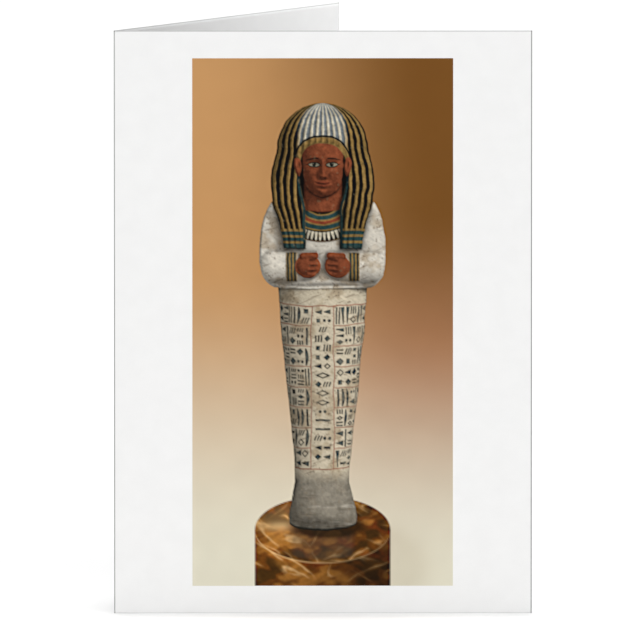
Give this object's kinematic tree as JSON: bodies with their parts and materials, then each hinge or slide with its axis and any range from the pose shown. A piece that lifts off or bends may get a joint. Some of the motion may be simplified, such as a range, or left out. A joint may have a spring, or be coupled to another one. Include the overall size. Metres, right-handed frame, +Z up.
{
  "type": "greeting card",
  "caption": "Folded greeting card in white stock, standing half open on its lower edges, with a tall printed picture on the front leaf.",
  "frame": {"origin": "middle of the footprint of the standing card, on the surface it stands on", "axes": "+Z up along the fold; the front leaf's printed outside faces -Y, the fold is at -X, and the back leaf stands open towards +Y"},
  "size_m": [0.127, 0.1068, 0.1778],
  "materials": {
    "card_stock": "smooth matt white card, with a satin printed picture on the outside of the front leaf"
  },
  "bodies": {
    "front": {"front_leaf": "card_stock"},
    "back": {"back_leaf": "card_stock"}
  },
  "joints": [
    {"name": "fold", "type": "hinge", "parent": "front", "child": "back", "pos_m": [-0.06295, -0.0529, 0.0889], "axis": [0, 0, 1], "range_deg": [-57, 123]}
  ]
}
